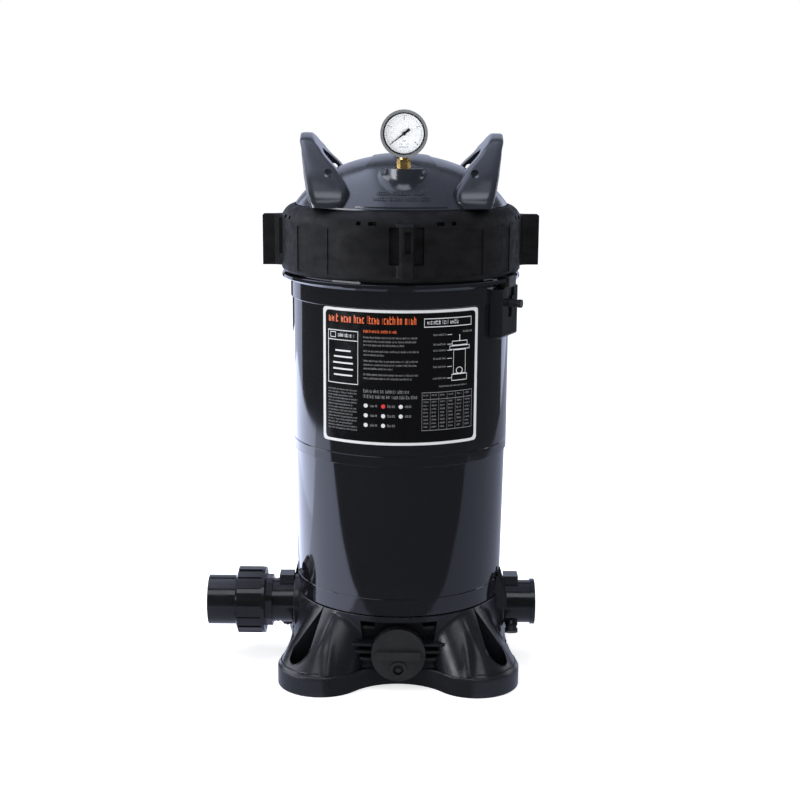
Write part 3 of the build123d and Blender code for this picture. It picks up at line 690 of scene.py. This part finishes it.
def tube_along(path, radius, sides=8):
    """Round bead or wire that follows a list of points, with flat ends."""
    verts, faces = [], []
    n = len(path)
    for k, p in enumerate(path):
        here = Vector(p)
        before = Vector(path[k - 1]) if k else here
        after = Vector(path[k + 1]) if k < n - 1 else here
        along = (after - before).normalized()
        side = along.cross(Vector((0, 0, 1)))
        side = side.normalized() if side.length > 1e-4 else Vector((1, 0, 0))
        up = side.cross(along)
        verts += [tuple(here + side * (radius * math.cos(2 * math.pi * j / sides))
                        + up * (radius * math.sin(2 * math.pi * j / sides)))
                  for j in range(sides)]
    for k in range(n - 1):
        a, b = k * sides, (k + 1) * sides
        faces += [(a + j, a + (j + 1) % sides, b + (j + 1) % sides, b + j)
                  for j in range(sides)]
    faces += [tuple(range(sides))[::-1], tuple((n - 1) * sides + j for j in range(sides))]
    return verts, faces


def smooth_curve(points, t):
    """Point at t from 0 to 1 on a curve through all the points."""
    last = len(points) - 1
    place = min(t * last, last - 1e-9)
    k = int(place)
    f = place - k
    p0, p1 = points[max(k - 1, 0)], points[k]
    p2, p3 = points[k + 1], points[min(k + 2, last)]
    return tuple(0.5 * (2 * b + (c - a) * f + (2 * a - 5 * b + 4 * c - d) * f * f
                        + (3 * b - a - 3 * c + d) * f ** 3)
                 for a, b, c, d in zip(p0, p1, p2, p3))


# ---- lifting handles ----
# (y, z) points from the front foot to the top, and (z, outer x, inner x) of the horn
OUTER_ARCH = [(-127, 671.5), (-125, 680), (-119, 694), (-96, 727), (-60, 755), (-22, 765.5),
              (0, 767)]
INNER_ARCH = [(-89, 671.5), (-86, 679), (-82, 690), (-68, 715), (-44, 735), (-18, 742.5),
              (0, 743.5)]
HORN_SHAPE = [(671, -121, -79), (680, -124, -72), (696, -128, -71.5), (716, -131.5, -84),
              (745, -136, -109), (757, -139.5, -118), (768, -141, -124)]


GRIP_HOLE_X, GRIP_HOLE_Z, GRIP_HOLE_R = 98.0, 716.0, 5.6


def horn_span(z):
    """Outer and inner edge of the handle in X at a height."""
    low, high = HORN_SHAPE[0][0], HORN_SHAPE[-1][0]
    z = max(low, min(high, z))
    for a, b in zip(HORN_SHAPE, HORN_SHAPE[1:]):
        if z <= b[0]:
            f = (z - a[0]) / (b[0] - a[0])
            f = f * f * (3 - 2 * f) * 0.35 + f * 0.65
            return a[1] + (b[1] - a[1]) * f, a[2] + (b[2] - a[2]) * f
    return HORN_SHAPE[-1][1:]


def handle(side):
    """Horn shaped arch with a soft section, wide and flat at its feet."""
    name = "lid_handle_left" if side < 0 else "lid_handle_right"
    steps, ring = 96, 40
    verts, faces = [], []
    for k in range(steps + 1):
        s = 2.0 * k / steps
        mirror_y = 1 if s <= 1 else -1
        oy, oz = smooth_curve(OUTER_ARCH, s if s <= 1 else 2 - s)
        iy, iz = smooth_curve(INNER_ARCH, s if s <= 1 else 2 - s)
        for j in range(ring):
            a = 2 * math.pi * j / ring
            power = 2 / 6.0
            across = math.copysign(abs(math.cos(a)) ** power, math.cos(a))
            wide = math.copysign(abs(math.sin(a)) ** power, math.sin(a))
            y = (oy + iy) / 2 + across * (oy - iy) / 2
            z = (oz + iz) / 2 + across * (oz - iz) / 2
            x0, x1 = horn_span(z)
            crown = 2.6 * (1 - wide * wide) * max(0.0, across)
            y -= crown * 0.8
            x = (x0 + x1) / 2 + wide * (x1 - x0) / 2
            verts.append((-side * x if side > 0 else x, mirror_y * y, z))
    for k in range(steps):
        a, b = k * ring, (k + 1) * ring
        faces += [(a + j, a + (j + 1) % ring, b + (j + 1) % ring, b + j) for j in range(ring)]
    faces += [tuple(range(ring))[::-1], tuple(steps * ring + j for j in range(ring))]
    made = piece(name + "_moulding", verts, faces, MATERIALS["lid_slate"], "lid", "lid_slate")
    hole = extruded(circle(GRIP_HOLE_R, 28, side * GRIP_HOLE_X, GRIP_HOLE_Z), along_y, -150, 150)
    carve(made, [solid(*hole)])
    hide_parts(name)


for which in (-1, 1):
    handle(which)


# ---- base stand ----
SKIRT_TOP, STAND_TOP = 28.0, 108.0
RIM_R, BORE_R = 150.3, 138.0
LOBE = (109.0, 113.0, 62.0)
FRONT_ARC = (206.8, 81.8)       # centre distance and radius of the hollow at front and back
SIDE_ARC = (683.9, 523.9)
ANCHOR_AT = 136.5
PORT_HEIGHT, DRAIN_HEIGHT, INLET_AT = 81.0, 52.0, -92.0


def ray_circle(c, s, cx, cy, radius, far):
    b = cx * c + cy * s
    root = math.sqrt(max(0.0, b * b - (cx * cx + cy * cy - radius * radius)))
    return b + root if far else b - root


def soft_max(a, b, blend):
    h = max(blend - abs(a - b), 0.0) / blend
    return max(a, b) + h * h * blend / 4


def skirt_radius(c, s):
    """Plan radius of the skirt along the direction (c, s), folded into one quarter."""
    k = LOBE[2] / (LOBE[2] + FRONT_ARC[1])
    front_turn = math.atan2(LOBE[1] + (FRONT_ARC[0] - LOBE[1]) * k, LOBE[0] * (1 - k))
    k = LOBE[2] / (LOBE[2] + SIDE_ARC[1])
    side_turn = math.atan2(LOBE[1] * (1 - k), LOBE[0] + (SIDE_ARC[0] - LOBE[0]) * k)
    angle = math.atan2(s, c)
    if angle > front_turn:
        return ray_circle(c, s, 0, FRONT_ARC[0], FRONT_ARC[1], False)
    if angle < side_turn:
        return ray_circle(c, s, SIDE_ARC[0], 0, SIDE_ARC[1], False)
    return ray_circle(c, s, LOBE[0], LOBE[1], LOBE[2], True)


def stand_radius(angle, z):
    """Plan radius of the stand's skin at a direction and a height."""
    c, s = abs(math.cos(angle)), abs(math.sin(angle))
    if z <= SKIRT_TOP:
        edge = min(1.0, z / 1.2) * 0.8 - 0.8
        lip = max(0.0, z - SKIRT_TOP + 1.8) / 1.8
        return skirt_radius(c, s) + edge - 1.5 * lip ** 2
    t = (z - SKIRT_TOP) / (STAND_TOP - SKIRT_TOP)
    foot = ray_circle(c, s, 109 - 37 * t, 113 - 37 * t, 60.3 - 15.2 * t, True)
    b_x, b_y = 157.0 + (RIM_R - 157.0) * t, 123.5 + (RIM_R - 123.5) * t
    core = 1 / math.sqrt((c / b_x) ** 2 + (s / b_y) ** 2)
    radius = soft_max(foot, core, 16.0 * (1 - t) + 3.0)
    turn = math.degrees(math.atan2(s, c))
    ridge_at = 61.0 - 3.6 * (z - 28) / 44
    off = math.radians(turn - ridge_at) * radius
    fade = max(0.0, min(1.0, (86 - z) / 22))
    width = 2.6 if off > 0 else 6.0
    radius += 2.7 * fade * math.exp(-(off / width) ** 2)
    radius -= 1.6 * fade * math.exp(-((off + 13) / 7.0) ** 2)
    off = math.radians(turn - 53.0) * radius
    fade = max(0.0, min(1.0, (104 - z) / 10)) * max(0.0, min(1.0, (z - 50) / 14))
    radius += 1.2 * fade * math.exp(-(off / 1.8) ** 2)
    return min(radius, skirt_radius(c, s) - 1.5) if t < 0.02 else radius


def skin_height(x, y):
    """Height of the stand's sloping skin over a plan point."""
    angle, reach = math.atan2(y, x), math.hypot(x, y)
    low, high = SKIRT_TOP + 0.2, STAND_TOP
    for _ in range(30):
        mid = (low + high) / 2
        if stand_radius(angle, mid) > reach:
            low = mid
        else:
            high = mid
    return low


def teardrop(radius, tail, sides=26):
    """Well outline on the +X +Y diagonal: round outside, pointed towards the tank."""
    along = ANCHOR_AT * math.sqrt(2)
    turn = math.acos(radius / tail)
    loop = [(along - tail, 0.0)]
    for k in range(sides + 1):
        a = -(math.pi - turn) + 2 * (math.pi - turn) * k / sides
        loop.append((along + radius * math.cos(a), radius * math.sin(a)))
    h = math.sqrt(0.5)
    return [((u - v) * h, (u + v) * h) for u, v in loop]


def plug_way(side):
    """Mapping whose w runs out along a winter plug's own axis."""
    turn = math.radians(150 if side > 0 else 210)
    c, s = math.cos(turn), math.sin(turn)
    return lambda u, v, w: (side * 167.0 + u, v * c - w * s, PORT_HEIGHT + v * s + w * c)


def stand():
    turns = 540
    levels = [0, 0.6, 1.2, 8, 15, 22, 26.2, 27, 27.6, 28] + [
        28.6 + 1.9 * k for k in range(41)] + [107.2, 108]
    verts, faces = [], []
    for z in levels:
        for k in range(turns):
            a = 2 * math.pi * k / turns
            radius = stand_radius(a, z)
            if z > 107.5:
                radius -= 0.6
            verts.append((radius * math.cos(a), radius * math.sin(a), z))
    for i in range(len(levels) - 1):
        a, b = i * turns, (i + 1) * turns
        faces += [(a + k, a + (k + 1) % turns, b + (k + 1) % turns, b + k) for k in range(turns)]
    faces.append(tuple(range(turns))[::-1])
    top = (len(levels) - 1) * turns
    faces.append(tuple(top + k for k in range(turns)))
    made = piece("stand_moulding", verts, faces, MATERIALS["stand_black"], "root", "stand_black")
    cutters = [lathe([(0, -1), (112, -1), (131, 94), (BORE_R, 94), (BORE_R, 110), (0, 110)], 120)]
    cutters.append(extruded(circle(38.5, 60, INLET_AT, 0), flat, 30, 95))
    for radius, y0 in ((26.0, -100), (32.0, -123), (39.5, -133)):
        cutters.append(extruded(circle(radius, 60, 0, DRAIN_HEIGHT), along_y, -160, y0))
    cutters.append(extruded([(-50, 69), (50, 69), (54, 99.5), (-54, 99.5)], along_y, -170, -112))
    cutters.append(extruded(circle(32.5, 60, 0, PORT_HEIGHT), along_x, -200, -100))
    cutters.append(extruded(circle(32.5, 60, 0, PORT_HEIGHT), along_x, 100, 200))
    for side in (-1, 1):
        cutters.append(extruded(circle(10.8, 40), plug_way(side), 37, 64))
    drop = teardrop(15.5, 44.0)
    for sx in (-1, 1):
        for sy in (-1, 1):
            cutters.append(extruded([(sx * x, sy * y) for x, y in drop], flat, 9, 112))
            cutters.append(extruded(circle(5.5, 28, sx * ANCHOR_AT, sy * ANCHOR_AT), flat, -2, 12))
    carve(made, [solid(*c) for c in cutters])
    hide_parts("base_stand")

    beads_v, beads_f = [], []

    def add(verts, faces):
        base = len(beads_v)
        beads_v.extend(verts)
        beads_f.extend([tuple(i + base for i in f) for f in faces])

    for sx in (-1, 1):
        for sy in (-1, 1):
            rim = [(sx * x, sy * y, skin_height(x, y) + 0.1) for x, y in teardrop(16.1, 45.0, 34)]
            add(*tube_along(rim[2:-1], 0.9, 8))
            edge = []
            for k in range(30):
                a = math.radians(24.0 + 33.0 * k / 29)
                z = 32.5
                radius = stand_radius(a, z) + 0.15
                edge.append((sx * radius * math.cos(a), sy * radius * math.sin(a), z))
            add(*tube_along(edge, 0.85, 8))
    piece("stand_beads", beads_v, beads_f, MATERIALS["stand_black"], "root", "stand_black")

    fins_v, fins_f = [], []
    for z, reach, back in ((66.0, 88.0, -112), (55.5, 80.0, -112), (45.0, 66.0, -112),
                           (88.0, 60.0, -112)):
        half, front = 1.9, -145.0 if z < 80 else -134.0
        for sx in (-1, 1):
            loop = []
            for k in range(25):
                x = 34.0 + (reach - 34.0) * math.sin(math.pi / 2 * k / 24)
                f = (x - 34.0) / (reach - 34.0)
                loop.append((sx * x, front + (front - back) * -0.62 * f ** 3.5))
            loop += [(sx * reach * 0.9, back), (sx * 34.0, back)]
            base = len(fins_v)
            outline = [(loop, z - half), (inset(loop, 0.8), z + half)]
            n = len(loop)
            for points, height in outline:
                fins_v.extend([(x, y, height) for x, y in points])
            fins_f.append(tuple(base + k for k in range(n))[::-1])
            fins_f.append(tuple(base + n + k for k in range(n)))
            fins_f.extend([(base + k, base + (k + 1) % n, base + n + (k + 1) % n, base + n + k)
                           for k in range(n)])
    piece("stand_fins", fins_v, fins_f, MATERIALS["stand_black"], "root", "stand_black")
    arch = [(24 * math.sin(math.radians(a)), DRAIN_HEIGHT + 24 * math.cos(math.radians(a)))
            for a in range(-51, 52, 6)]
    web = extruded([(-57, 67.0), *arch, (57, 67.0), (57, 99.8), (-57, 99.8)], along_y,
                   -120, -115.5)
    piece("stand_web", *web, MATERIALS["stand_black"], "root", "stand_black", smooth=False)


def inset(loop, by):
    """The loop drawn in towards its middle by about a distance."""
    cx = sum(p[0] for p in loop) / len(loop)
    cy = sum(p[1] for p in loop) / len(loop)
    out = []
    for x, y in loop:
        reach = math.hypot(x - cx, y - cy)
        out.append((x - (x - cx) / reach * by, y - (y - cy) / reach * by))
    return out


def collars_and_ribs():
    verts, faces = [], []

    def add(v, f):
        base = len(verts)
        verts.extend(v)
        faces.extend([tuple(i + base for i in one) for one in f])

    for side in (-1, 1):
        profile = [(32.45, 139.5), (38.2, 139.5), (38.2, 153.2), (37.0, 154.6), (32.45, 154.6)]
        v, f = lathe(profile, 72)
        add([(side * z, x, y + PORT_HEIGHT) for x, y, z in v], f)
        for k, y in enumerate((36.0, 42.0, 48.0)):
            x = math.sqrt(RIM_R ** 2 - y ** 2)
            tall = 146 - 5 * k
            leaf = [(x - 7, 86), (x + 13, 86), (x + 12, 104), (x + 7.5, 124), (x + 1.5, tall),
                    (x - 0.6, tall)]
            v, f = extruded(leaf, along_y, -y - 1.3, -y + 1.3)
            add([(side * a, side * b, c) for a, b, c in v], f)
    piece("stand_collars", verts, faces, MATERIALS["stand_black"], "root", "stand_black")


def spring():
    """Compression spring under the lock tab."""
    coil_r, axis_y, low_z, length, coils, steps = 2.6, -160.5, 498.8, 18.4, 9, 16
    path, lock = [], math.radians(65.0)
    for k in range(coils * steps + 1):
        a = 2 * math.pi * k / steps
        x, y = coil_r * math.cos(a), axis_y + coil_r * math.sin(a)
        path.append((x * math.cos(lock) - y * math.sin(lock),
                     x * math.sin(lock) + y * math.cos(lock),
                     low_z + length * k / (coils * steps)))
    made = piece("lock_spring_coil", *tube_along(path, 0.5, 8), MATERIALS["spring_steel"], "root",
                 "spring_steel")
    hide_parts("lock_spring")


stand()
collars_and_ribs()
spring()


# ---- stage, light and camera ----
def sheet_object(name, corners, mat):
    mesh = bpy.data.meshes.new(name)
    mesh.from_pydata(corners, [], [(0, 1, 2, 3)])
    obj = bpy.data.objects.new(name, mesh)
    bpy.context.scene.collection.objects.link(obj)
    mesh.materials.append(mat)
    return obj


def floor():
    mat, tree, shader = new_material("floor_pale")
    coords = node(tree, "ShaderNodeTexCoord").outputs["Object"]
    tree.links.new(ramp(tree, noise(tree, coords, 3.0), [(0.3, (0.90, 0.90, 0.90)),
                                                         (0.7, (0.93, 0.93, 0.93))]),
                   shader.inputs["Base Color"])
    shader.inputs["Roughness"].default_value = 0.8
    shader.inputs["Specular IOR Level"].default_value = 0.1
    shader.inputs["Emission Color"].default_value = (1, 1, 1, 1)
    shader.inputs["Emission Strength"].default_value = 0.62
    made = sheet_object("floor", [(-9, -9, -0.0002), (9, -9, -0.0002), (9, 9, -0.0002),
                                  (-9, 9, -0.0002)], mat)
    made.visible_glossy = False


def card(name, corners, colour, strength):
    """Pale studio card that shows only as a reflection."""
    mat = bpy.data.materials.new(name)
    mat.use_nodes = True
    tree = mat.node_tree
    tree.nodes.clear()
    glow = node(tree, "ShaderNodeEmission", Strength=strength)
    glow.inputs["Color"].default_value = (*colour, 1.0)
    out = node(tree, "ShaderNodeOutputMaterial")
    tree.links.new(glow.outputs["Emission"], out.inputs["Surface"])
    made = sheet_object(name, corners, mat)
    made.visible_camera = False
    made.visible_diffuse = False
    made.visible_shadow = False
    made.visible_transmission = False


def area(name, place, aim, size, power):
    """Soft light that shapes the surfaces without a reflection of its own."""
    light = bpy.data.lights.new(name, "AREA")
    light.shape = "RECTANGLE"
    light.size, light.size_y = size
    light.energy = power
    obj = bpy.data.objects.new(name, light)
    bpy.context.scene.collection.objects.link(obj)
    obj.location = place
    obj.rotation_euler = (Vector(aim) - Vector(place)).to_track_quat("-Z", "Y").to_euler()
    obj.visible_glossy = False
    obj.visible_camera = False


def world():
    made = bpy.data.worlds.new("studio")
    bpy.context.scene.world = made
    made.use_nodes = True
    tree = made.node_tree
    tree.nodes.clear()
    path = node(tree, "ShaderNodeLightPath")
    seen = node(tree, "ShaderNodeBackground", Strength=1.0)
    seen.inputs["Color"].default_value = (1, 1, 1, 1)
    fill = node(tree, "ShaderNodeBackground", Strength=0.55)
    fill.inputs["Color"].default_value = (0.93, 0.95, 1.0, 1)
    dim = node(tree, "ShaderNodeBackground", Strength=0.10)
    dim.inputs["Color"].default_value = (0.9, 0.94, 1.0, 1)
    out = node(tree, "ShaderNodeOutputWorld")
    first, second = node(tree, "ShaderNodeMixShader"), node(tree, "ShaderNodeMixShader")
    tree.links.new(path.outputs["Is Glossy Ray"], first.inputs["Fac"])
    tree.links.new(fill.outputs[0], first.inputs[1])
    tree.links.new(dim.outputs[0], first.inputs[2])
    tree.links.new(path.outputs["Is Camera Ray"], second.inputs["Fac"])
    tree.links.new(first.outputs[0], second.inputs[1])
    tree.links.new(seen.outputs[0], second.inputs[2])
    tree.links.new(second.outputs[0], out.inputs["Surface"])


def camera():
    data = bpy.data.cameras.new("view")
    data.lens, data.sensor_width = 66.0, 36.0
    data.clip_start, data.clip_end = 0.05, 40.0
    obj = bpy.data.objects.new("view", data)
    bpy.context.scene.collection.objects.link(obj)
    down, roll = math.radians(11.75), math.radians(0.378)
    obj.matrix_world = (Matrix.Translation((0.0, -2.081, 0.8187))
                        @ Matrix.Rotation(math.pi / 2 - down, 4, "X")
                        @ Matrix.Rotation(roll, 4, "Z"))
    bpy.context.scene.camera = obj


floor()
world()
camera()
LILAC = (0.70, 0.76, 1.0)
card("table_far_left", [(-1.75, 0.22, -0.01), (-0.85, 0.22, -0.01), (-0.85, 3.0, -0.01),
                        (-1.75, 3.0, -0.01)], LILAC, 4.4)
card("table_left", [(-0.85, 0.22, -0.01), (-0.33, 0.22, -0.01), (-0.33, 3.0, -0.01),
                    (-0.85, 3.0, -0.01)], LILAC, 3.4)
card("table_side", [(-1.75, -0.40, -0.01), (-0.33, -0.40, -0.01), (-0.33, 0.22, -0.01),
                    (-1.75, 0.22, -0.01)], LILAC, 2.5)
card("table_near", [(-0.33, -0.40, -0.01), (-0.10, -0.40, -0.01), (-0.10, 3.0, -0.01),
                    (-0.33, 3.0, -0.01)], LILAC, 0.8)
card("table_right", [(0.10, -0.40, -0.01), (1.4, -0.40, -0.01), (1.4, 3.0, -0.01),
                     (0.10, 3.0, -0.01)], LILAC, 0.66)
card("wall_left", [(-3.0, 2.2, -0.5), (-1.2, 2.2, -0.5), (-1.2, 2.2, 1.6), (-3.0, 2.2, 1.6)],
     LILAC, 2.0)
card("wall_right", [(1.2, 3.0, -0.5), (3.0, 3.0, -0.5), (3.0, 3.0, 1.6), (1.2, 3.0, 1.6)],
     LILAC, 1.8)
card("wall_back", [(-1.2, 3.0, 0.3), (1.2, 3.0, 0.3), (1.2, 3.0, 2.6), (-1.2, 3.0, 2.6)],
     LILAC, 0.9)
card("box_left", [(-2.1, -0.6, 0.62), (-1.9, 1.1, 0.62), (-1.9, 1.1, 2.1), (-2.1, -0.6, 2.1)],
     (0.86, 0.90, 1.0), 4.0)
card("box_left_front", [(-1.5, -1.7, 0.50), (-2.1, -0.6, 0.50), (-2.1, -0.6, 0.86),
                        (-1.5, -1.7, 0.86)], (0.9, 0.94, 1.0), 14.0)
card("box_right", [(2.3, 0.2, 0.6), (2.1, 1.2, 0.6), (2.1, 1.2, 1.8), (2.3, 0.2, 1.8)],
     (0.86, 0.90, 1.0), 2.5)
card("box_front", [(-0.9, -2.2, 1.9), (0.9, -2.2, 1.9), (0.9, -1.5, 2.7), (-0.9, -1.5, 2.7)],
     (0.86, 0.90, 1.0), 3.4)
card("ceiling_left", [(-2.0, -1.0, 2.3), (-0.55, -1.0, 2.8), (-0.55, 2.0, 2.8),
                      (-2.0, 2.0, 2.3)], LILAC, 2.5)
card("ceiling", [(-0.55, -1.0, 2.8), (0.5, -1.0, 2.8), (0.5, 2.0, 2.8), (-0.55, 2.0, 2.8)],
     LILAC, 0.9)
card("ceiling_right", [(0.5, -1.0, 2.8), (2.0, -1.0, 2.3), (2.0, 2.0, 2.3), (0.5, 2.0, 2.8)],
     LILAC, 0.5)
area("top_soft", (-0.5, 0.3, 2.9), (0, 0, 0.5), (2.2, 1.8), 42.0)
area("left_soft", (-2.4, -1.0, 1.3), (0, 0, 0.4), (1.4, 1.6), 22.0)
area("right_soft", (2.2, -1.2, 1.4), (0, 0, 0.4), (1.4, 1.6), 4.0)

bpy.context.scene.view_settings.view_transform = "Standard"
bpy.context.scene.view_settings.look = "None"
